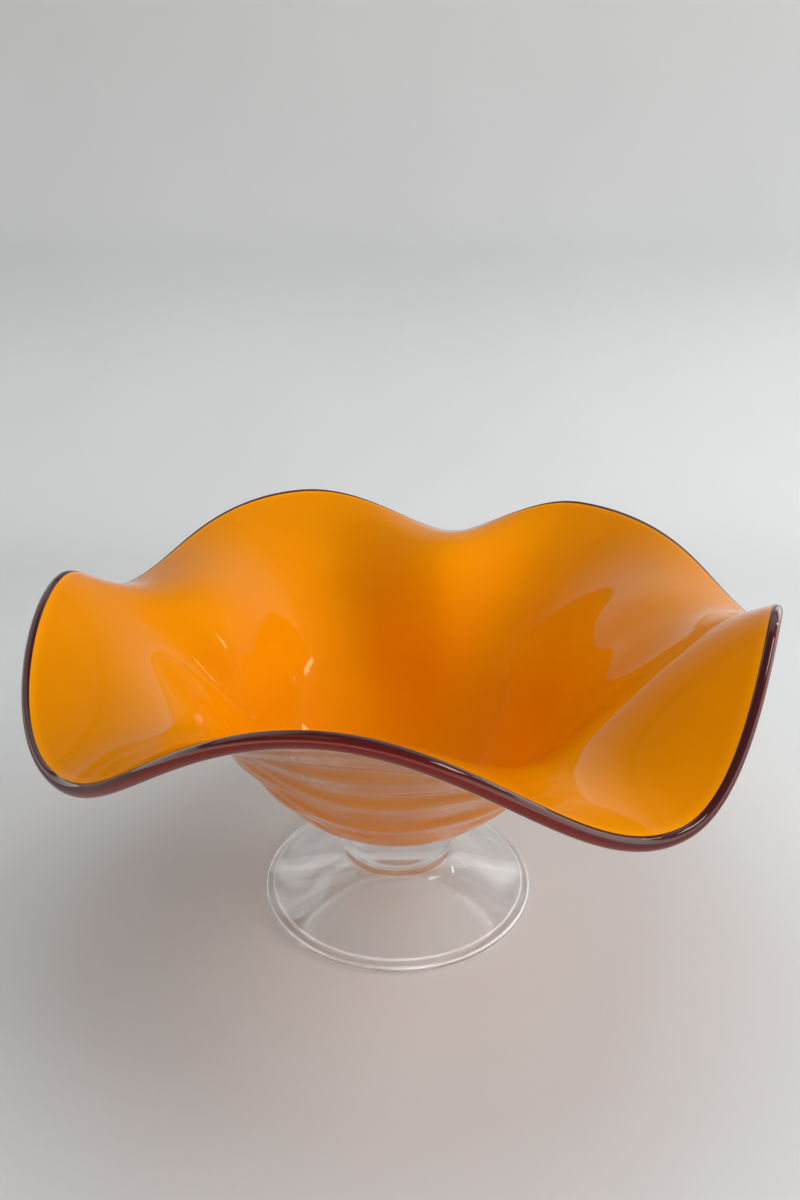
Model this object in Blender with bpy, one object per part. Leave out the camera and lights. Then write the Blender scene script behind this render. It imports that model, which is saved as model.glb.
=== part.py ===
"""Footed art-glass bowl with a five-fold ruffled lip, in metres, +Z up.

The bowl is blown in two layers: an opaque orange lining inside a clear casing. A dark amethyst
thread wraps the lip. A clear pad of glass joins the bowl to a clear, flared, hollow foot.
Each piece is shaped about the axis of the foot. The lip was pulled unevenly, so the whole bowl is
then moved to stand over the origin, which is on the table under the middle of its outline.
"""

import math

import bmesh
import bpy
from mathutils import Vector

# Driving dimensions
FOOT_RADIUS = 0.062
FOOT_HEIGHT = 0.0222
FOOT_EDGE = 0.0030  # thickness of the foot's rounded edge
PAD_RADIUS = 0.0275
NECK_RADIUS = 0.0235  # where the foot meets the pad
BOWL_BOTTOM = 0.0396  # height of the middle of the wall, on the axis
WALL = 0.0044
LINING = 0.0014
FIT_GAP = 0.0003  # between pieces that are fused in the glass
LIP_GAP = 0.0006  # under the lip wrap, where the wall's edge twists
BOTTOM_GATHER = 0.0016  # extra glass of the casing, on the axis
GATHER_REACH = 0.4  # share of the way to the lip where the extra glass ends
LIP_BEAD_RADIUS = 0.0023

# The pad, from its seat under the bowl down to the foot
PAD_WAIST = 0.0065  # height of its widest circle above its base
PAD_BROW = 0.0030  # how far the widest circle stands out past the seat
PAD_TUCK = 0.0035  # how far the pad draws in above the foot

# Outlines of the foot, as (radius, height) handles of two cubics
FLARE_NECK_HANDLE = (0.0262, 0.0140)
FLARE_EDGE_HANDLE = (0.0420, 0.0078)
GROUND_RING = 0.0030  # width of the flat ring that the foot stands on
HOLLOW_EDGE_HANDLE = (0.0420, 0.0040)
HOLLOW_TOP_HANDLE = (0.0270, 0.0160)
HOLLOW_HEIGHT = 0.0160

# How the hot lip was pulled: a crest, then a dip, and so on, anticlockwise from the front.
# Each row holds azimuth in degrees, reach from the axis, height, and flare in degrees above level.
LIP_WAVE = (
    (263, 0.157, 0.162, 27),
    (303, 0.153, 0.115, -13),
    (334, 0.145, 0.158, 28),
    (363, 0.150, 0.130, -20),
    (415, 0.178, 0.145, 31),
    (437, 0.139, 0.130, -17),
    (469, 0.172, 0.148, 31),
    (518, 0.139, 0.128, -16),
    (540, 0.140, 0.150, 30),
    (582, 0.149, 0.117, -19),
)

# A meridian of the bowl leaves the axis level, and reaches the lip along its flare.
BOTTOM_PULL = 0.082
LIP_PULL = 0.090

# The round bowl that was pulled into waves: its lip's reach, height and flare. The waves fade into
# it from the lip down to WAVE_START, a share of the way up the wall.
ROUND_LIP = (0.151, 0.139, math.radians(6))
WAVE_START = 0.1

# How finely the pieces are divided
WALL_SEGMENTS = 75
WALL_RINGS = 10
TURNED_SEGMENTS = 56
SEAT_RINGS = 5
BEAD_POINTS = 10


def material(name, colour, roughness, transmission=0.0):
    made = bpy.data.materials.new(name)
    made.use_nodes = True
    shader = made.node_tree.nodes["Principled BSDF"]
    shader.inputs["Base Color"].default_value = (*colour, 1.0)
    shader.inputs["Roughness"].default_value = roughness
    shader.inputs["Metallic"].default_value = 0.0
    shader.inputs["Transmission Weight"].default_value = transmission
    made.diffuse_color = (*colour, 1.0)
    return made


def new_object(name, mesh, surface):
    mesh.materials.append(surface)
    made = bpy.data.objects.new(name, mesh)
    bpy.context.scene.collection.objects.link(made)
    return made


def bezier(a, b, c, d, t):
    """The point at t, from 0 to 1, on the cubic through a and d with handles b and c."""
    s = 1 - t
    return s**3 * a + 3 * s * s * t * b + 3 * s * t * t * c + t**3 * d


def lip_at(azimuth):
    """Reach, height and flare of the lip at this azimuth, on half cosines from crest to dip."""
    first = LIP_WAVE[0]
    turn = (math.degrees(azimuth) - first[0]) % 360 + first[0]
    stops = LIP_WAVE + ((first[0] + 360, *first[1:]),)
    for low, high in zip(stops, stops[1:]):
        if turn <= high[0]:
            break
    share = (1 - math.cos(math.pi * (turn - low[0]) / (high[0] - low[0]))) / 2
    reach, height, flare = (a + (b - a) * share for a, b in zip(low[1:], high[1:]))
    return reach, height, math.radians(flare)


def meridian(lip, u):
    """Radius and level at u along the middle of the wall, from the axis out to this lip."""
    reach, height, flare = lip
    radius = bezier(0, BOTTOM_PULL, reach - LIP_PULL * math.cos(flare), reach, u)
    level = bezier(BOWL_BOTTOM, BOWL_BOTTOM, height - LIP_PULL * math.sin(flare), height, u)
    return Vector((radius, level))


def middle_of_wall(u, azimuth):
    """The point on the middle of the bowl's wall, from u 0 on the axis to u 1 at the lip."""
    rise = max(0.0, (u - WAVE_START) / (1 - WAVE_START))
    wave = rise**2 * (3 - 2 * rise)
    radius, level = meridian(ROUND_LIP, u).lerp(meridian(lip_at(azimuth), u), wave)
    return Vector((radius * math.cos(azimuth), radius * math.sin(azimuth), level))


def wall_frame(u, azimuth):
    """The middle of the wall with its unit directions towards the lip and out of the bowl."""
    step = 1e-3
    here = middle_of_wall(u, azimuth)
    ahead = min(u + step, 1.0)
    up = middle_of_wall(ahead, azimuth) - middle_of_wall(ahead - step, azimuth)
    around = middle_of_wall(u, azimuth + step) - middle_of_wall(u, azimuth - step)
    return here, up.normalized(), around.cross(up).normalized()


def wall_point(u, azimuth, depth):
    """A point at this depth below the bowl's inside face."""
    here, _, outward = wall_frame(u, azimuth)
    return here + outward * (depth - WALL / 2)


def azimuths():
    return [2 * math.pi * k / WALL_SEGMENTS for k in range(WALL_SEGMENTS)]


def skin(name, loops, poles, surface):
    """A closed surface over loops of points, each joined to the next.

    poles holds the points that close the first and the last loop. Without poles, the last loop
    is joined to the first one.
    """
    bm = bmesh.new()
    rows = [[bm.verts.new(point) for point in loop] for loop in loops]
    pairs = list(zip(rows, rows[1:]))
    if not poles:
        pairs.append((rows[-1], rows[0]))
    for turn, (row, following) in enumerate(pairs):
        # The way back splits its faces as the way out does, so that two layers nest.
        here, there = (row, following) if turn < len(rows) // 2 else (following, row)
        for k in range(len(row)):
            bm.faces.new((here[k - 1], here[k], there[k]))
            bm.faces.new((here[k - 1], there[k], there[k - 1]))
    for pole, row in zip(poles, (rows[0], rows[-1])):
        tip = bm.verts.new(pole)
        for k in range(len(row)):
            bm.faces.new((tip, row[k], row[k - 1]))
    bmesh.ops.recalc_face_normals(bm, faces=bm.faces)
    mesh = bpy.data.meshes.new(name)
    bm.to_mesh(mesh)
    bm.free()
    mesh.shade_smooth()
    mesh.set_sharp_from_angle(angle=math.radians(40))
    return new_object(name, mesh, surface)


def gather_at(u):
    """How much thicker the casing is here than at the side: it is thickest on the axis."""
    return BOTTOM_GATHER * max(0.0, 1 - (u / GATHER_REACH) ** 2) ** 2


def bowl_layer(name, upper, lower, surface):
    """One glass layer of the bowl. upper is its depth below the inside face, and lower(u) the
    depth where it ends.
    """
    shares = [k / WALL_RINGS for k in (0.5, *range(1, WALL_RINGS + 1))]
    sides = [(u, upper) for u in shares] + [(u, lower(u)) for u in reversed(shares)]
    loops = [[wall_point(u, azimuth, depth) for azimuth in azimuths()] for u, depth in sides]
    poles = [Vector((0, 0, BOWL_BOTTOM + WALL / 2 - depth)) for depth in (upper, lower(0))]
    return skin(name, loops, poles, surface)


def lip_wrap(name, surface):
    """The dark thread round the lip: a bead, flat where it sits on the edges of the wall."""
    flat = math.asin(LIP_GAP / LIP_BEAD_RADIUS)
    turns = [flat + (math.pi - 2 * flat) * k / (BEAD_POINTS - 1) for k in range(BEAD_POINTS)]
    loops = []
    for turn in turns:
        loop = []
        for azimuth in azimuths():
            here, up, outward = wall_frame(1.0, azimuth)
            spoke = up * math.sin(turn) - outward * math.cos(turn)
            loop.append(here + spoke * LIP_BEAD_RADIUS)
        loops.append(loop)
    return skin(name, loops, (), surface)


def turned(name, profile, surface):
    """A solid turned about Z from a profile of (radius, height) that starts and ends on the axis."""
    mesh = bpy.data.meshes.new(name)
    points = [(radius, 0, height) for radius, height in profile]
    mesh.from_pydata(points, [(k, k + 1) for k in range(len(points) - 1)], [])
    made = new_object(name, mesh, surface)
    screw = made.modifiers.new("Turn", "SCREW")
    screw.steps = screw.render_steps = TURNED_SEGMENTS
    screw.use_merge_vertices = True
    screw.merge_threshold = 0.00005
    screw.use_smooth_shade = True
    return made


def outline(a, b, c, d, steps):
    """Points along a cubic outline, leaving out its first one."""
    a, b, c, d = (Vector(point) for point in (a, b, c, d))
    return [bezier(a, b, c, d, k / steps) for k in range(1, steps + 1)]


def casing_underside(radius):
    """Height of the lowest glass of the bowl at this small radius from the axis."""
    lowest = BOWL_BOTTOM
    for azimuth in azimuths():
        low, high = 0.001, 0.5
        for _ in range(20):
            u = (low + high) / 2
            below = wall_point(u, azimuth, WALL + gather_at(u))
            if below.xy.length < radius:
                low = u
            else:
                high = u
        lowest = min(lowest, below.z)
    return lowest


def pad(surface):
    """The clear glass that joins the bowl to the foot, hollowed on top to seat the bowl."""
    base = FOOT_HEIGHT + FIT_GAP
    seat_radii = [(PAD_RADIUS - PAD_BROW) * k / SEAT_RINGS for k in range(SEAT_RINGS + 1)]
    seat = [(radius, casing_underside(radius) - FIT_GAP) for radius in seat_radii]
    brim_radius, brim = seat[-1]
    widest = (PAD_RADIUS, base + PAD_WAIST)
    lowest = (PAD_RADIUS - PAD_TUCK, base)
    over = ((brim_radius + 0.8 * PAD_BROW, brim), (PAD_RADIUS, brim - 0.3 * PAD_WAIST))
    under = ((PAD_RADIUS, base + 0.3 * PAD_WAIST), (PAD_RADIUS - 0.3 * PAD_TUCK, base))
    side = outline(seat[-1], *over, widest, 4) + outline(widest, *under, lowest, 4)
    return turned("joining_pad", [*seat, *side, (0, base)], surface)


def foot(surface):
    """The clear foot: a short solid neck that flares into a thin sheet with a rounded edge."""
    edge = FOOT_EDGE / 2
    edge_radius = FOOT_RADIUS - edge
    neck = (NECK_RADIUS, FOOT_HEIGHT)
    flare = outline(neck, FLARE_NECK_HANDLE, FLARE_EDGE_HANDLE, (edge_radius, FOOT_EDGE), 9)
    rounding = [
        (edge_radius + edge * math.sin(turn), edge + edge * math.cos(turn))
        for turn in (math.pi * k / 5 for k in range(1, 6))
    ]
    ground = (edge_radius - GROUND_RING, 0)
    hollow = outline(ground, HOLLOW_EDGE_HANDLE, HOLLOW_TOP_HANDLE, (0, HOLLOW_HEIGHT), 7)
    profile = [(0, FOOT_HEIGHT), neck, *flare, *rounding, ground, *hollow]
    return turned("clear_foot", profile, surface)


def middle_of_outline(piece):
    """The middle of a piece's length and width, seen from above."""
    corners = [Vector(corner) for corner in piece.bound_box]
    middle = (corners[0] + corners[6]) / 2
    middle.z = 0
    return middle


def main():
    for old in list(bpy.data.objects):
        bpy.data.objects.remove(old)
    orange = material("orange_glass", (0.90, 0.33, 0.01), 0.08)
    clear = material("clear_glass", (0.96, 0.97, 0.96), 0.03, transmission=1.0)
    amethyst = material("amethyst_glass", (0.10, 0.015, 0.02), 0.05)
    lip = lip_wrap("amethyst_lip_wrap", amethyst)
    pieces = [
        lip,
        bowl_layer("orange_lining", 0.0, lambda u: LINING, orange),
        bowl_layer("clear_casing", LINING + FIT_GAP, lambda u: WALL + gather_at(u), clear),
        pad(clear),
        foot(clear),
    ]
    middle = middle_of_outline(lip)
    for piece in pieces:
        piece.location = -middle


main()
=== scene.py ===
"""The finished look of a footed art-glass bowl with a five-fold ruffled lip.

The bowl is cased glass: an opaque orange lining inside a clear casing, with a dark amethyst thread
round the lip, a clear joining pad and a clear flared foot. The clear pieces are fused, so where
they meet, their contact faces are invisible and the light passes from one into the next.
"""

import math

import bmesh
import bpy
import numpy as np
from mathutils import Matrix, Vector


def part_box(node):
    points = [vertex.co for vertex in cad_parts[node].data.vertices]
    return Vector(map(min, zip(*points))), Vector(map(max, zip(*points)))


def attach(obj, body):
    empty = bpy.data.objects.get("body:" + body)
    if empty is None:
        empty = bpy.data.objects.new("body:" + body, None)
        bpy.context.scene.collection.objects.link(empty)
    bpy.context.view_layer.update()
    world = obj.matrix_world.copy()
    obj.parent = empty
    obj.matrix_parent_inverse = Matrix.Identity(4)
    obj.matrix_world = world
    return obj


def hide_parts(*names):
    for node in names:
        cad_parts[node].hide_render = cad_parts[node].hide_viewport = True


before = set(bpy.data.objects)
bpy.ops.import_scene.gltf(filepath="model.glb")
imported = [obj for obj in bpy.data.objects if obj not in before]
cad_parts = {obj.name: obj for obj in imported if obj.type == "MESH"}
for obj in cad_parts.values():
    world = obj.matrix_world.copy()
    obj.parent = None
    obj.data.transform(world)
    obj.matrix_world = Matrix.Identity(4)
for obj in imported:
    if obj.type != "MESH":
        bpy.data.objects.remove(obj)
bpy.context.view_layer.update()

# ---------------------------------------------------------------- dimensions of the design
FOOT_RADIUS = 0.062
FOOT_HEIGHT = 0.0222
FOOT_EDGE = 0.0030
PAD_RADIUS = 0.0275
NECK_RADIUS = 0.0235
BOWL_BOTTOM = 0.0396
WALL = 0.0044
LINING = 0.0014
BOTTOM_GATHER = 0.0016
GATHER_REACH = 0.4
LIP_BEAD_RADIUS = 0.0023
PAD_WAIST = 0.0065
PAD_BROW = 0.0030
PAD_TUCK = 0.0035
FLARE_NECK_HANDLE = (0.0262, 0.0140)
FLARE_EDGE_HANDLE = (0.0420, 0.0078)
GROUND_RING = 0.0030
HOLLOW_EDGE_HANDLE = (0.0420, 0.0040)
HOLLOW_TOP_HANDLE = (0.0270, 0.0160)
HOLLOW_HEIGHT = 0.0160
# painted highlight: a line on the foot's edge and one inside it are painted white
INNER_LINE_RADIUS = 0.0581  # of the pale line inside the foot's edge
INNER_LINE_WIDTH = 0.0008
INNER_LINE_WHITE = 0.8
EDGE_LINE_STEP = 5  # of the white line on the foot's edge, in steps of its rounding
EDGE_LINE_REACH = 4
TOOL_MARK_DEPTH = 0.00048  # of the waves on the outside of the clear casing

# A crest, then a dip, and so on: azimuth in degrees, reach, height, flare in degrees above level.
LIP_WAVE = (
    (263, 0.157, 0.162, 27),
    (303, 0.153, 0.115, -13),
    (334, 0.145, 0.158, 28),
    (363, 0.150, 0.130, -20),
    (415, 0.178, 0.145, 31),
    (437, 0.139, 0.130, -17),
    (469, 0.172, 0.148, 31),
    (518, 0.139, 0.128, -16),
    (540, 0.140, 0.150, 30),
    (582, 0.149, 0.117, -19),
)
LIP_SOFTENING = math.radians(5.0)  # how far round the crests and dips are relaxed
LIP_SOFTENING_SAMPLES = 9
BOTTOM_PULL = 0.082  # how far the wall keeps its direction out from the axis
LIP_PULL = 0.090  # and in from the lip
ROUND_LIP = (0.151, 0.139, math.radians(6))  # reach, height and flare before the lip was pulled
WAVE_START = 0.1  # how far up the wall the waves begin

# How finely the pieces are divided
AROUND = 480
WALL_RINGS = 110
BEAD_POINTS = 28
FLARE_STEPS = 90
ROUNDING_STEPS = 18
HOLLOW_STEPS = 50
HALVINGS = 30  # of the search for the pad's circle

AXIS = (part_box("clear_foot")[0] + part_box("clear_foot")[1]) / 2
AXIS.z = 0
ALL_ROUND = np.linspace(0, 2 * math.pi, AROUND, endpoint=False)  # the azimuths of every loop


# ---------------------------------------------------------------- shape of the bowl
def bezier(a, b, c, d, t):
    """The point at t, from 0 to 1, on the cubic through a and d with handles b and c."""
    s = 1 - t
    return s**3 * a + 3 * s * s * t * b + 3 * s * t * t * c + t**3 * d


def plain_lip(azimuth):
    """Reach, height and flare of the lip at these azimuths, on half cosines from crest to dip."""
    first = LIP_WAVE[0]
    stops = np.array([*LIP_WAVE, (first[0] + 360, *first[1:])], float)
    turn = (np.degrees(azimuth) - first[0]) % 360 + first[0]
    row = np.clip(np.searchsorted(stops[:, 0], turn, side="right") - 1, 0, len(LIP_WAVE) - 1)
    low, high = stops[row], stops[row + 1]
    share = (1 - np.cos(math.pi * (turn - low[..., 0]) / (high[..., 0] - low[..., 0]))) / 2
    return low[..., 1:] + (high - low)[..., 1:] * share[..., None]


def lip_at(azimuth):
    """The lip, relaxed a little round each crest and dip, as soft glass leaves it."""
    total = 0
    weights = 0
    for offset in np.linspace(-1, 1, LIP_SOFTENING_SAMPLES):
        weight = math.cos(offset * math.pi / 2) ** 2 + 0.02
        total = total + weight * plain_lip(azimuth + offset * LIP_SOFTENING)
        weights += weight
    reach, height, flare = np.moveaxis(total / weights, -1, 0)
    return reach, height, np.radians(flare)


def meridian(lip, u):
    """Radius and level at u along the wall, from the axis out to this lip."""
    reach, height, flare = lip
    radius = bezier(0, BOTTOM_PULL, reach - LIP_PULL * np.cos(flare), reach, u)
    level = bezier(BOWL_BOTTOM, BOWL_BOTTOM, height - LIP_PULL * np.sin(flare), height, u)
    return radius, level


def middle_of_wall(u, azimuth):
    """Points on the middle of the bowl's wall, from u 0 on the axis to u 1 at the lip.

    The waves fade out below the lip into the round bowl that was pulled to make them.
    """
    rise = np.clip((u - WAVE_START) / (1 - WAVE_START), 0, 1)
    wave = rise**2 * (3 - 2 * rise)
    round_radius, round_level = meridian(ROUND_LIP, u)
    radius, level = meridian(lip_at(azimuth), u)
    radius = round_radius + (radius - round_radius) * wave
    level = round_level + (level - round_level) * wave
    return np.stack((radius * np.cos(azimuth), radius * np.sin(azimuth), level), axis=-1)


def unit(vectors):
    """The vectors at length 1."""
    return vectors / np.linalg.norm(vectors, axis=-1, keepdims=True)


def wall_frame(u, azimuth):
    """The middle of the wall, with its directions towards the lip and out of the bowl."""
    step = 1e-3
    here = middle_of_wall(u, azimuth)
    ahead = np.minimum(u + step, 1.0)
    up = middle_of_wall(ahead, azimuth) - middle_of_wall(ahead - step, azimuth)
    around = middle_of_wall(u, azimuth + step) - middle_of_wall(u, azimuth - step)
    return here, unit(up), unit(np.cross(around, up))


def wall_points(u, azimuth, depth):
    """Points at this depth below the bowl's inside face."""
    here, _, outward = wall_frame(u, azimuth)
    return here + outward * (np.asarray(depth) - WALL / 2)[..., None]


def gather_at(u):
    """How much thicker the casing is here than at the side: it is thickest on the axis."""
    return BOTTOM_GATHER * np.maximum(0.0, 1 - (u / GATHER_REACH) ** 2) ** 2


def wall_loops(shares, depth):
    """One loop of points for each share of the way to the lip."""
    return [wall_points(np.full(AROUND, u), ALL_ROUND, np.full(AROUND, depth(u))) for u in shares]


def pole_at(depth):
    """The point on the axis at this depth below the bowl's inside face."""
    return (0, 0, BOWL_BOTTOM + WALL / 2 - depth)


# ---------------------------------------------------------------- mesh helpers
def skin(name, loops, poles, surfaces, face_surface):
    """A closed surface over loops of points. face_surface(k) gives the material index of the band
    that follows loop k, with -1 and the last index for the two end discs.

    Without poles, the last loop is joined to the first one.
    """
    bm = bmesh.new()
    rows = [[bm.verts.new(point) for point in loop] for loop in loops]
    pairs = list(zip(rows, rows[1:]))
    if not poles:
        pairs.append((rows[-1], rows[0]))
    for band, (row, following) in enumerate(pairs):
        for k in range(len(row)):
            face = bm.faces.new((row[k - 1], row[k], following[k], following[k - 1]))
            face.material_index = face_surface(band)
    for pole, row, band in zip(poles, (rows[0], rows[-1]), (-1, len(rows))):
        tip = bm.verts.new(pole)
        for k in range(len(row)):
            face = bm.faces.new((tip, row[k], row[k - 1]))
            face.material_index = face_surface(band)
    bmesh.ops.recalc_face_normals(bm, faces=bm.faces)
    mesh = bpy.data.meshes.new(name)
    bm.to_mesh(mesh)
    bm.free()
    mesh.shade_smooth()
    mesh.set_sharp_from_angle(angle=math.radians(50))
    for surface in surfaces:
        mesh.materials.append(surface)
    made = bpy.data.objects.new(name, mesh)
    made.location = AXIS
    bpy.context.scene.collection.objects.link(made)
    return made


def name_points(piece, name, values):
    """Stores one value for each of the piece's points. The two poles, if any, come last with 0."""
    points = piece.data.vertices
    stored = np.zeros(len(points), np.float32)
    stored[: len(values)] = values
    piece.data.attributes.new(name, "FLOAT", "POINT").data.foreach_set("value", stored)


def turned_loops(profile):
    """One loop of points for each (radius, height) of a profile."""
    east, north = np.cos(ALL_ROUND), np.sin(ALL_ROUND)
    return [np.stack((r * east, r * north, np.full(AROUND, z)), axis=-1) for r, z in profile]


def outline(a, b, c, d, steps):
    """Points along a cubic outline, leaving out its first one."""
    a, b, c, d = (np.array(point, float) for point in (a, b, c, d))
    return [bezier(a, b, c, d, k / steps) for k in range(1, steps + 1)]


def place(piece, node, slot):
    """Puts a finished piece in the place of its CAD node."""
    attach(piece, "root")
    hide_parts(node)
    return piece


# ---------------------------------------------------------------- material helpers
def new_material(name):
    """A new material, with its nodes, links and shader."""
    made = bpy.data.materials.new(name)
    made.use_nodes = True
    nodes = made.node_tree.nodes
    links = made.node_tree.links
    return made, nodes, links, nodes["Principled BSDF"]


def noise(nodes, links, scale, detail, stretch=(1, 1, 1)):
    """A noise texture in object space, in metres, and stretched along the axes."""
    place_node = nodes.new("ShaderNodeTexCoord")
    mapping = nodes.new("ShaderNodeMapping")
    mapping.inputs["Scale"].default_value = stretch
    texture = nodes.new("ShaderNodeTexNoise")
    texture.inputs["Scale"].default_value = scale
    texture.inputs["Detail"].default_value = detail
    links.new(place_node.outputs["Object"], mapping.inputs["Vector"])
    links.new(mapping.outputs["Vector"], texture.inputs["Vector"])
    return texture


def ramp(nodes, links, source, stops):
    """A colour ramp over a value, from (position, colour) stops."""
    made = nodes.new("ShaderNodeValToRGB")
    elements = made.color_ramp.elements
    while len(elements) < len(stops):
        elements.new(0.5)
    for element, (position, colour) in zip(elements, stops):
        element.position = position
        element.color = (*colour, 1.0)
    links.new(source, made.inputs["Fac"])
    return made


def mix_colours(nodes, links, blend, factor, a, b):
    """Blends two colours, each an output or a fixed colour."""
    made = nodes.new("ShaderNodeMix")
    made.data_type = "RGBA"
    made.blend_type = blend
    sockets = [socket for socket in made.inputs if socket.enabled]
    for value, socket in zip((factor, a, b), sockets):
        if isinstance(value, float):
            socket.default_value = value
        elif isinstance(value, tuple):
            socket.default_value = (*value, 1.0)
        else:
            links.new(value, socket)
    return next(output for output in made.outputs if output.enabled)


def spread(nodes, links, source, low, high):
    """The value remapped from 0.3 to 0.7, where a noise mostly lies, to low to high."""
    made = nodes.new("ShaderNodeMapRange")
    made.inputs["From Min"].default_value = 0.3
    made.inputs["From Max"].default_value = 0.7
    made.inputs["To Min"].default_value = low
    made.inputs["To Max"].default_value = high
    links.new(source, made.inputs["Value"])
    return made


def combine(nodes, links, operation, a, b):
    """The result of a sum on two values, each an output or a fixed number."""
    made = nodes.new("ShaderNodeMath")
    made.operation = operation
    for value, socket in zip((a, b), made.inputs):
        if isinstance(value, float):
            socket.default_value = value
        else:
            links.new(value, socket)
    return made.outputs["Value"]


def add_bump(nodes, links, shader, source, distance):
    """Makes the surface uneven by up to this many metres."""
    bump = nodes.new("ShaderNodeBump")
    bump.inputs["Strength"].default_value = 1.0
    bump.inputs["Distance"].default_value = distance
    links.new(source, bump.inputs["Height"])
    links.new(bump.outputs["Normal"], shader.inputs["Normal"])


# ---------------------------------------------------------------- materials
ORANGE_DEEP = (0.94, 0.294, 0.0005)
ORANGE_BRIGHT = (0.98, 0.314, 0.001)
# painted shade: the orange darkens by a fifth towards the lip, which dims the crests
LIP_PAINTED_SHADE = ((0.35, (1.0, 1.0, 1.0)), (0.90, (0.80, 0.80, 0.80)))  # from the bottom to the lip
ORANGE_CASED = (0.97, 0.350, 0.003)
ORANGE_AT_LIP = (0.86, 0.295, 0.002)
WARM_GLOSS = (1.0, 0.80, 0.55)
PLAIN_GLOSS = (1.0, 1.0, 1.0)
CLEAR_TINTS = ((0.3, (0.985, 0.990, 0.988)), (0.7, (1.0, 1.0, 1.0)))


def orange_glass(name, in_air):
    """Opaque orange glass: faint cloudy streaks, glossy where it meets the air.

    It is paler and yellower just inside the lip, where the layer thins out. Its colour is darkened
    towards the lip by a painted shade. The attribute "to_lip" runs from 0 at the bottom to 1 at
    the lip.
    """
    made, nodes, links, shader = new_material(name)
    clouds = noise(nodes, links, 14, 4, (1, 1, 2.5))
    deep, bright = (ORANGE_DEEP, ORANGE_BRIGHT) if in_air else (ORANGE_BRIGHT, ORANGE_CASED)
    colour = ramp(nodes, links, clouds.outputs["Fac"], [(0.35, deep), (0.65, bright)])
    to_lip = nodes.new("ShaderNodeAttribute")
    to_lip.attribute_name = "to_lip"
    # painted shade: the orange is darkened towards the lip
    depth = ramp(nodes, links, to_lip.outputs["Fac"], LIP_PAINTED_SHADE)
    parts = (colour.outputs["Color"], depth.outputs["Color"])
    orange_with_painted_shade = mix_colours(nodes, links, "MULTIPLY", 1.0, *parts)
    edge = ramp(nodes, links, to_lip.outputs["Fac"], [(0.987, (0, 0, 0)), (0.994, (1, 1, 1))])
    base = mix_colours(nodes, links, "MIX", edge.outputs["Color"], orange_with_painted_shade, ORANGE_AT_LIP)
    links.new(base, shader.inputs["Base Color"])
    shader.inputs["IOR"].default_value = 1.27
    shader.inputs["Specular Tint"].default_value = (1.0, 0.5, 0.05, 1.0)
    if in_air:
        smear = noise(nodes, links, 60, 3)
        rough = spread(nodes, links, smear.outputs["Fac"], 0.03, 0.07)
        links.new(rough.outputs["Result"], shader.inputs["Roughness"])
        swell = noise(nodes, links, 22, 1)
        add_bump(nodes, links, shader, swell.outputs["Fac"], 0.00028)
    else:
        shader.inputs["Roughness"].default_value = 0.6
        shader.inputs["Specular IOR Level"].default_value = 0.0
    return made


def clear_glass(name, ripple_scale, ripple_depth, solidity, gloss):
    """Clear glass, fire-polished, with the slight unevenness of hand work.

    A solidity below 1 lets some light straight through, as thin sheet glass seems to. The gloss
    is the colour of its reflections. The attribute "edge" runs up to 1 where the glass is painted
    white, a painted highlight that stands in for the light an edge gathers.
    """
    made, nodes, links, shader = new_material(name)
    tint = noise(nodes, links, 30, 2)
    colour = ramp(nodes, links, tint.outputs["Fac"], CLEAR_TINTS)
    links.new(colour.outputs["Color"], shader.inputs["Base Color"])
    shader.inputs["Transmission Weight"].default_value = 1.0
    shader.inputs["IOR"].default_value = 1.50
    shader.inputs["Alpha"].default_value = solidity
    shader.inputs["Specular Tint"].default_value = (*gloss, 1.0)
    smear = noise(nodes, links, 80, 3)
    rough = spread(nodes, links, smear.outputs["Fac"], 0.0, 0.02)
    links.new(rough.outputs["Result"], shader.inputs["Roughness"])
    swell = noise(nodes, links, ripple_scale, 1)
    add_bump(nodes, links, shader, swell.outputs["Fac"], ripple_depth)
    # painted highlight: where "edge" is set, the glass turns from clear to white
    edge = nodes.new("ShaderNodeAttribute")
    edge.attribute_name = "edge"
    uneven = noise(nodes, links, 16, 2)
    share = spread(nodes, links, uneven.outputs["Fac"], 0.15, 1.0)
    white = combine(nodes, links, "MULTIPLY", edge.outputs["Fac"], share.outputs["Result"])
    clear = combine(nodes, links, "SUBTRACT", 1.0, white)
    links.new(clear, shader.inputs["Transmission Weight"])
    return made


def fused_contact():
    """Where two clear pieces are one glass: nothing shows."""
    made, _, _, shader = new_material("fused_contact")
    shader.inputs["Alpha"].default_value = 0.0
    return made


AMETHYST_ACROSS = (
    (0.10, (0.050, 0.009, 0.011)),
    (0.35, (0.090, 0.007, 0.007)),
    (0.55, (0.160, 0.008, 0.003)),
    (0.75, (0.140, 0.012, 0.008)),
    (0.92, (0.150, 0.030, 0.022)),
)


def amethyst_glass():
    """Dark amethyst glass: nearly black inside the lip, maroon at its tip, and mauve where the
    clear casing laps over it outside. The attribute "across" runs from 0 inside to 1 outside.
    """
    made, nodes, links, shader = new_material("amethyst_glass_polished")
    across = nodes.new("ShaderNodeAttribute")
    across.attribute_name = "across"
    clouds = noise(nodes, links, 35, 3)
    shift = spread(nodes, links, clouds.outputs["Fac"], -0.05, 0.05)
    total = combine(nodes, links, "ADD", across.outputs["Fac"], shift.outputs["Result"])
    colour = ramp(nodes, links, total, AMETHYST_ACROSS)
    links.new(colour.outputs["Color"], shader.inputs["Base Color"])
    smear = noise(nodes, links, 90, 2)
    rough = spread(nodes, links, smear.outputs["Fac"], 0.02, 0.06)
    links.new(rough.outputs["Result"], shader.inputs["Roughness"])
    shader.inputs["IOR"].default_value = 1.40
    shader.inputs["Specular Tint"].default_value = (1.0, 0.80, 0.72, 1.0)
    swell = noise(nodes, links, 40, 1)
    add_bump(nodes, links, shader, swell.outputs["Fac"], 0.0002)
    return made


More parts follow.
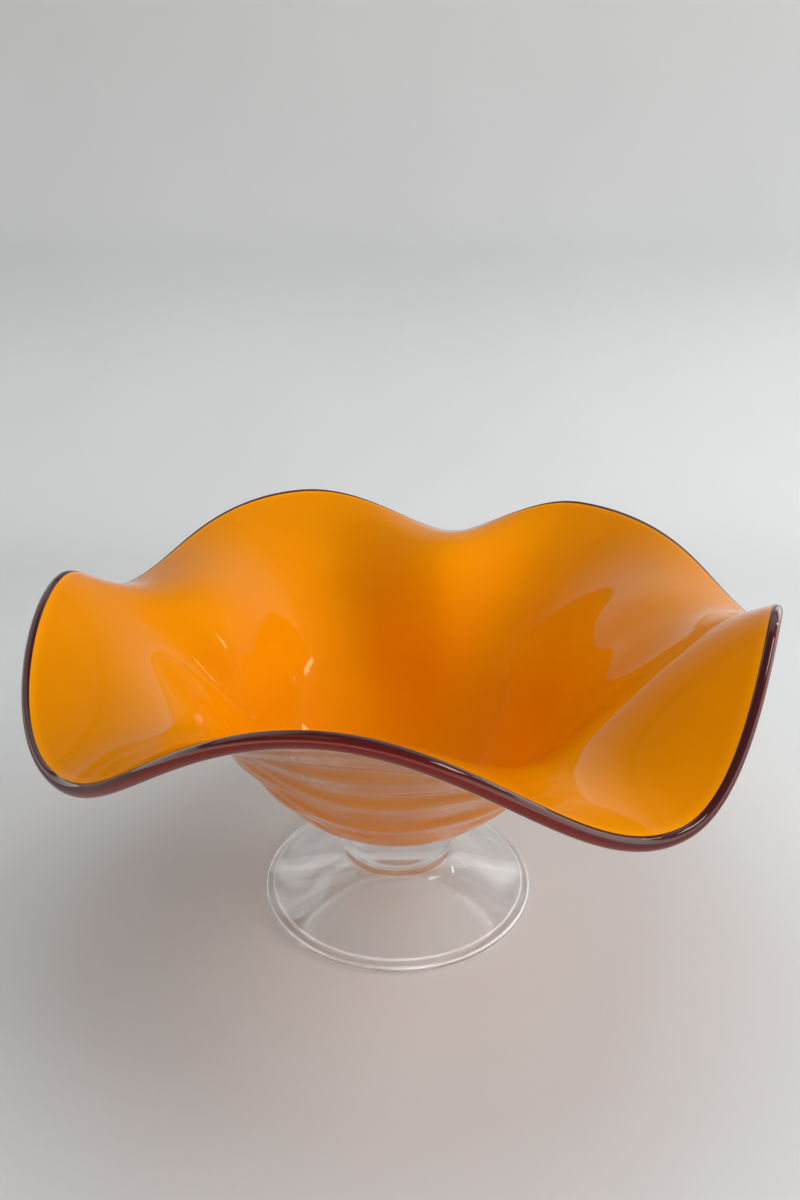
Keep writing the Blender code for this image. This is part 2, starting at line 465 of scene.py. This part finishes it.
TABLE_TONES = ((0.715, 0.725, 0.727), (0.755, 0.765, 0.767))
# painted shade: the wall is darkened high up, standing in for the dim room above it
WALL_PAINTED_SHADE = (  # by height in metres, which tops out with the wall
    (0.02, (1.00, 1.00, 1.00)),
    (0.30, (0.64, 0.64, 0.64)),
    (0.56, (0.59, 0.59, 0.58)),
    (0.98, (0.12, 0.12, 0.12)),
)


def pale_surface():
    """The softly glossy table top and the wall behind it, which a painted shade darkens high up.
    """
    made, nodes, links, shader = new_material("pale_table")
    tone = noise(nodes, links, 3, 3)
    low, high = TABLE_TONES
    colour = ramp(nodes, links, tone.outputs["Fac"], [(0.3, low), (0.7, high)])
    place_node = nodes.new("ShaderNodeTexCoord")
    axes = nodes.new("ShaderNodeSeparateXYZ")
    links.new(place_node.outputs["Object"], axes.inputs["Vector"])
    # painted shade on the wall, by height
    shade = ramp(nodes, links, axes.outputs["Z"], WALL_PAINTED_SHADE)
    parts = (colour.outputs["Color"], shade.outputs["Color"])
    base = mix_colours(nodes, links, "MULTIPLY", 1.0, *parts)
    links.new(base, shader.inputs["Base Color"])
    grain = noise(nodes, links, 5, 1)
    rough = spread(nodes, links, grain.outputs["Fac"], 0.28, 0.32)
    links.new(rough.outputs["Result"], shader.inputs["Roughness"])
    return made


# ---------------------------------------------------------------- pieces
def lining(inside, cased):
    """The opaque orange layer: a thin shell whose outside lies under the clear casing."""
    shares = [k / WALL_RINGS for k in range(1, WALL_RINGS + 1)]
    loops = wall_loops(shares, lambda u: 0.0) + wall_loops(reversed(shares), lambda u: LINING)
    poles = (pole_at(0), pole_at(LINING))

    def surface(k):
        return int(k >= WALL_RINGS)

    made = skin("orange_lining_blown", loops, poles, (inside, cased), surface)
    name_points(made, "to_lip", np.repeat([*shares, *reversed(shares)], AROUND))
    return made


def share_at_radius(radius):
    """How far up the wall its outside reaches this small radius, at each azimuth."""
    low, high = np.full(AROUND, 0.001), np.full(AROUND, 0.5)
    for _ in range(HALVINGS):
        u = (low + high) / 2
        reached = np.linalg.norm(wall_points(u, ALL_ROUND, WALL + gather_at(u))[:, :2], axis=-1)
        low = np.where(reached < radius, u, low)
        high = np.where(reached < radius, high, u)
    return u


def seat_loop():
    """The circle, on the outside of the bowl, where the pad joins it: shares of the way to the lip
    and points."""
    u = share_at_radius(PAD_RADIUS - PAD_BROW)
    return u, wall_points(u, ALL_ROUND, WALL + gather_at(u))


def tool_marks(u, azimuth):
    """How far the outside of the clear layer swells where the tools and the hand turned it.

    Level, uneven waves that fade out towards the pad and towards the lip.
    """
    drift = 1.3 * np.sin(2 * azimuth + 0.7) + 0.9 * np.sin(5 * azimuth + 2.1)
    long_wave = np.sin(48 * u + drift)
    short_wave = np.sin(85 * u - 1.6 * drift + 2 * np.sin(3 * azimuth))
    fade = np.clip((u - 0.12) / 0.15, 0, 1) * np.clip((0.97 - u) / 0.10, 0, 1)
    return TOOL_MARK_DEPTH * (long_wave + 0.4 * short_wave) * fade


def casing(glass, contact):
    """The clear layer. Its inside face lies within the opaque lining, out of sight."""
    seat, seat_ring = seat_loop()
    outside = [seat_ring]
    for k in range(1, WALL_RINGS + 1):
        u = seat + (1 - seat) * k / WALL_RINGS
        depth = WALL + gather_at(u) + tool_marks(u, ALL_ROUND)
        outside.append(wall_points(u, ALL_ROUND, depth))
    shares = [k / WALL_RINGS for k in range(1, WALL_RINGS + 1)]
    hidden = wall_loops(shares, lambda u: LINING / 2)
    loops = hidden + outside[::-1]
    poles = (pole_at(LINING / 2), (0, 0, float(seat_ring[:, 2].mean())))
    last = len(loops)

    def surface(k):
        return int(k == last or k < WALL_RINGS)

    return skin("clear_casing_blown", loops, poles, (glass, contact), surface)


def joining_pad(glass, contact):
    """The clear pad, a soft round collar under the bowl that draws in to the foot's neck."""
    _, seat_ring = seat_loop()
    base = FOOT_HEIGHT
    brim = float(seat_ring[:, 2].mean())
    seat = (PAD_RADIUS - PAD_BROW, brim)
    widest = (PAD_RADIUS, base + PAD_WAIST)
    neck = (NECK_RADIUS, base)
    over = ((PAD_RADIUS - 0.2 * PAD_BROW, brim), (PAD_RADIUS, brim - 0.3 * PAD_WAIST))
    under = ((PAD_RADIUS, base + 0.3 * PAD_WAIST), (PAD_RADIUS - 0.6 * PAD_TUCK, base + 0.0004))
    profile = outline(seat, *over, widest, 14) + outline(widest, *under, neck, 16)
    loops = [seat_ring] + turned_loops(profile)
    poles = ((0, 0, brim), (0, 0, base))
    last = len(loops)

    def surface(k):
        return int(k in (-1, last))

    return skin("joining_pad_clear", loops, poles, (glass, contact), surface)


def flared_foot(glass, contact):
    """The clear foot: a short neck that flares into a thin sheet with a rounded edge."""
    edge = FOOT_EDGE / 2
    edge_radius = FOOT_RADIUS - edge
    neck = (NECK_RADIUS, FOOT_HEIGHT)
    brink = (edge_radius, FOOT_EDGE)
    flare = outline(neck, FLARE_NECK_HANDLE, FLARE_EDGE_HANDLE, brink, FLARE_STEPS)
    rounding = [
        (edge_radius + edge * math.sin(turn), edge + edge * math.cos(turn))
        for turn in (math.pi * k / ROUNDING_STEPS for k in range(1, ROUNDING_STEPS + 1))
    ]
    ground = (edge_radius - GROUND_RING, 0)
    top = (0, HOLLOW_HEIGHT)
    hollow = outline(ground, HOLLOW_EDGE_HANDLE, HOLLOW_TOP_HANDLE, top, HOLLOW_STEPS)
    profile = [neck, *flare, *rounding, ground, *hollow[:-1]]
    poles = ((0, 0, FOOT_HEIGHT), (0, 0, HOLLOW_HEIGHT))
    loops = turned_loops(profile)
    made = skin("clear_foot_flared", loops, poles, (glass, contact), lambda k: int(k == -1))
    # painted highlight: how white each loop of the profile is painted
    shine = [painted_edge_highlight(k, radius) for k, (radius, _) in enumerate(profile)]
    name_points(made, "edge", np.repeat(shine, AROUND))
    return made


def painted_edge_highlight(k, radius):
    """Painted highlight at loop k of the foot's profile: a white line on its edge and one inside
    it.
    """
    on_edge = 1 - abs(k - FLARE_STEPS - EDGE_LINE_STEP) / EDGE_LINE_REACH
    on_top = k <= FLARE_STEPS
    inside = 1 - abs(radius - INNER_LINE_RADIUS) / INNER_LINE_WIDTH
    return max(0.0, on_edge, INNER_LINE_WHITE * inside if on_top else 0.0)


def lip_wrap(glass):
    """The dark thread round the lip: a full round bead, whose inner half holds the wall's edge."""
    azimuth = np.linspace(0, 2 * math.pi, AROUND * 2, endpoint=False)
    here, up, outward = wall_frame(np.ones(len(azimuth)), azimuth)
    turns = [2 * math.pi * k / BEAD_POINTS for k in range(BEAD_POINTS)]
    loops = [
        here + (up * math.sin(turn) - outward * math.cos(turn)) * LIP_BEAD_RADIUS for turn in turns
    ]
    made = skin("lip_wrap_thread", loops, (), (glass,), lambda k: 0)
    shares = [(1 - math.cos(turn)) / 2 for turn in turns]
    name_points(made, "across", np.repeat(shares, len(azimuth)))
    return made


# ---------------------------------------------------------------- stage, light and camera
STAGE_HALF_WIDTH = 3.0
STAGE_FRONT = -3.0
COVE_START = 0.45  # behind the bowl, where the table top starts to curve up
COVE_RADIUS = 0.35
COVE_STEPS = 24
STAGE_HEIGHT = 1.0
STAGE_COLUMNS = 25
FLOOR_GAP = 0.0002  # so that the foot's flat ring and the table don't share a plane


def stage():
    """A pale table top, a hair below the foot, that curves up into a pale wall behind the bowl."""
    profile = [(STAGE_FRONT, 0.0), (-0.5, 0.0), (COVE_START, 0.0)]
    for k in range(1, COVE_STEPS + 1):
        turn = math.pi / 2 * k / COVE_STEPS
        rise = COVE_RADIUS * (1 - math.cos(turn))
        profile.append((COVE_START + COVE_RADIUS * math.sin(turn), rise))
    profile.append((COVE_START + COVE_RADIUS, STAGE_HEIGHT))
    bm = bmesh.new()
    columns = np.linspace(-STAGE_HALF_WIDTH, STAGE_HALF_WIDTH, STAGE_COLUMNS)
    rows = [[bm.verts.new((x, y, z)) for x in columns] for y, z in profile]
    for row, following in zip(rows, rows[1:]):
        for k in range(1, len(row)):
            bm.faces.new((row[k - 1], row[k], following[k], following[k - 1]))
    mesh = bpy.data.meshes.new("table_and_wall")
    bm.to_mesh(mesh)
    bm.free()
    mesh.shade_smooth()
    mesh.materials.append(pale_surface())
    made = bpy.data.objects.new("table_and_wall", mesh)
    made.location = AXIS - Vector((0, 0, FLOOR_GAP))
    bpy.context.scene.collection.objects.link(made)
    return made


def towards(azimuth, elevation, distance=1.0):
    """A place in this direction from the bowl, with angles in degrees. Azimuth 0 is +X."""
    turn, lift = math.radians(azimuth), math.radians(elevation)
    level = math.cos(lift) * distance
    return Vector((level * math.cos(turn), level * math.sin(turn), math.sin(lift) * distance))


def softbox(name, place, size, power, colour=(1, 1, 1), reflected=False):
    """A rectangular soft light turned towards the bowl, out of sight of the camera."""
    lamp = bpy.data.lights.new(name, "AREA")
    lamp.shape = "RECTANGLE"
    lamp.size, lamp.size_y = size
    lamp.energy = power
    lamp.color = colour
    made = bpy.data.objects.new(name, lamp)
    made.location = place + Vector((0, 0, 0.1))
    made.rotation_euler = (-place).to_track_quat("-Z", "Y").to_euler()
    made.visible_camera = False
    made.visible_glossy = reflected
    bpy.context.scene.collection.objects.link(made)
    return made


def smooth_step(nodes, links, source, start, end, strength):
    """0 where the source is at start, rising to strength where it reaches end."""
    made = nodes.new("ShaderNodeMapRange")
    made.interpolation_type = "SMOOTHSTEP"
    made.inputs["From Min"].default_value = start
    made.inputs["From Max"].default_value = end
    made.inputs["To Max"].default_value = strength
    links.new(source, made.inputs["Value"])
    return made.outputs["Result"]


# The pale room: how bright it is all round, and its glows. Each glow has an aim, the two dot
# products with it between which it rises, a strength, and how high up the sky it has faded.
ROOM_BASE = 0.16
BEHIND_HIGH = 0.22  # the plain tone that stands behind the stage, high up
BEHIND_LOW = 0.36  # how much paler it is at the horizon
BEHIND_FADE = 0.45  # how high up the sky it has faded
ROOM_GLOWS = (
    (towards(-90, 0), -0.1, 0.9, 1.6, 0.45),  # the room in front, near the horizon
    (towards(0, 10), 0.3, 0.98, 0.82, 0.6),  # the window side
    (towards(75, 5), -0.20, 0.95, 0.50, 1.2),  # the wall behind
    (towards(180, 10), 0.0, 1.0, 0.7, 0.5),  # the other side
)


def room_light():
    """The light of a pale room, brightest near the horizon."""
    world = bpy.data.worlds.new("pale_room")
    world.use_nodes = True
    nodes, links = world.node_tree.nodes, world.node_tree.links
    direction = nodes.new("ShaderNodeTexCoord").outputs["Generated"]
    axes = nodes.new("ShaderNodeSeparateXYZ")
    links.new(direction, axes.inputs["Vector"])
    total = ROOM_BASE
    for aim, start, end, strength, top in ROOM_GLOWS:
        dot = nodes.new("ShaderNodeVectorMath")
        dot.operation = "DOT_PRODUCT"
        dot.inputs[1].default_value = aim
        links.new(direction, dot.inputs[0])
        glow = smooth_step(nodes, links, dot.outputs["Value"], start, end, strength)
        low = smooth_step(nodes, links, axes.outputs["Z"], top, 0.02, 1.0)
        total = combine(nodes, links, "ADD", total, combine(nodes, links, "MULTIPLY", glow, low))
    seen = nodes.new("ShaderNodeLightPath").outputs["Is Camera Ray"]
    unseen = combine(nodes, links, "SUBTRACT", 1.0, seen)
    haze = smooth_step(nodes, links, axes.outputs["Z"], BEHIND_FADE, 0.0, BEHIND_LOW)
    backdrop = combine(nodes, links, "ADD", haze, BEHIND_HIGH)
    behind = combine(nodes, links, "MULTIPLY", seen, backdrop)
    total = combine(nodes, links, "ADD", behind, combine(nodes, links, "MULTIPLY", total, unseen))
    links.new(total, nodes["Background"].inputs["Strength"])
    nodes["Background"].inputs["Color"].default_value = (1.0, 1.0, 0.99, 1.0)
    bpy.context.scene.world = world


# Pale panels that only show in the clear pieces and the lip: azimuth, elevation, width, height and
# radiance. A ring of them stands near the horizon, and a few hang higher.
PANELS = (
    (20, 14, 0.78, 0.36, 1.6),
    (65, 12, 0.78, 0.36, 1.0),
    (115, 12, 0.78, 0.36, 0.9),
    (160, 12, 0.78, 0.36, 0.9),
    (205, 10, 0.78, 0.36, 0.8),
    (250, 8, 0.78, 0.36, 0.5),
    (290, 8, 0.78, 0.36, 0.5),
    (335, 12, 0.78, 0.36, 1.3),
    (150, 48, 0.90, 0.60, 0.9),
    (60, 50, 0.90, 0.50, 0.7),
    (230, 60, 0.60, 0.40, 0.5),
    (350, 42, 0.34, 0.16, 9.0),
)
PANEL_DISTANCE = 0.95

# Every light below has a place, a size and a power, and some have a colour.
SOFT_LIGHTS = {
    "key": (towards(-5, 30, 1.6), (1.2, 1.0), 15.4),
    "overhead": (towards(60, 84, 1.5), (1.0, 1.0), 6.5),
    "fill_left": (towards(170, 30, 1.6), (1.2, 1.0), 1.0),
    "fill_front": (towards(-100, 12, 1.5), (1.8, 0.6), 4.8),
}
WINDOW = (towards(24, 28, 1.5), (0.06, 0.22), 0.80, (0.95, 0.97, 1.0))
UNDER_BOWL = (Vector((0, -0.02, 0.27)), (0.16, 0.16), 0.24, (0.86, 0.97, 1.0))
RIM = (towards(-70, 50, 1.0), (0.5, 0.5), 8.0)
LIGHT_BOUNCES = 32  # enough for light to find its way through the clear pieces


def link_light(made, name, receivers, blockers=()):
    """Lets a light fall on these objects only, and only these blockers throw its shadow."""
    groups = []
    for suffix, members in (("lit", receivers), ("blocks", blockers)):
        group = bpy.data.collections.new(f"{name}_{suffix}")
        for member in members:
            group.objects.link(member)
        groups.append(group)
    made.light_linking.receiver_collection = groups[0]
    if blockers:
        made.light_linking.blocker_collection = groups[1]


def panels(receivers):
    """Hangs the panels round the bowl. They light nothing: they only show as reflections."""
    for azimuth, elevation, width, height, radiance in PANELS:
        name = f"panel_{azimuth}_{elevation}"
        place = towards(azimuth, elevation, PANEL_DISTANCE)
        power = 4 * width * height * radiance
        made = softbox(name, place, (width, height), power, reflected=True)
        made.visible_diffuse = False
        link_light(made, name, receivers)


def light(polished, table):
    """Soft light, mostly from the right, and one small window that shows in the gloss.

    One light brightens the foot's painted white edge lines, and one brightens the table under the
    bowl, where real clear glass would throw its light.
    """
    room_light()
    for name, (place, size, power) in SOFT_LIGHTS.items():
        softbox(name, place, size, power)
    place, size, power, colour = WINDOW
    softbox("window", place, size, power, colour, reflected=True)
    place, size, power, colour = UNDER_BOWL
    under = softbox("under_bowl", place, size, power, colour)
    link_light(under, "under_bowl", [table], [table])
    lip, _, pad, foot = polished
    rim = softbox("rim", *RIM)
    rim.visible_transmission = False
    link_light(rim, "rim", [foot], [foot])
    panels((lip, pad, foot))
    view = bpy.context.scene.view_settings
    view.view_transform = "Standard"
    view.look = "None"
    bpy.context.scene.cycles.max_bounces = LIGHT_BOUNCES
    bpy.context.scene.cycles.transmission_bounces = LIGHT_BOUNCES


CAMERA_OFFSET = Vector((0.0011, -0.3417, 0.2669))
CAMERA_PITCH = math.radians(69.69)


def camera():
    """A phone's wide lens, level from left to right and tilted down at the bowl."""
    lens = bpy.data.cameras.new("camera")
    lens.lens = 26
    lens.sensor_width = 36
    made = bpy.data.objects.new("camera", lens)
    made.location = AXIS + CAMERA_OFFSET
    made.rotation_euler = (CAMERA_PITCH, 0, 0)
    bpy.context.scene.collection.objects.link(made)
    bpy.context.scene.camera = made


def build():
    """Makes every piece, and gives back the four that are polished glass, with the lip first."""
    contact = fused_contact()
    inside = orange_glass("orange_glass_inside", True)
    cased = orange_glass("orange_glass_cased", False)
    casing_glass = clear_glass("clear_casing_polished", 18, 0.0003, 1.0, WARM_GLOSS)
    foot_glass = clear_glass("clear_foot_polished", 35, 0.0003, 0.70, PLAIN_GLOSS)
    place(lining(inside, cased), "orange_lining", "orange_glass")
    return (
        place(lip_wrap(amethyst_glass()), "amethyst_lip_wrap", "amethyst_glass"),
        place(casing(casing_glass, contact), "clear_casing", "clear_casing_glass"),
        place(joining_pad(foot_glass, contact), "joining_pad", "clear_glass"),
        place(flared_foot(foot_glass, contact), "clear_foot", "clear_glass"),
    )


camera()
polished_pieces = build()
light(polished_pieces, stage())
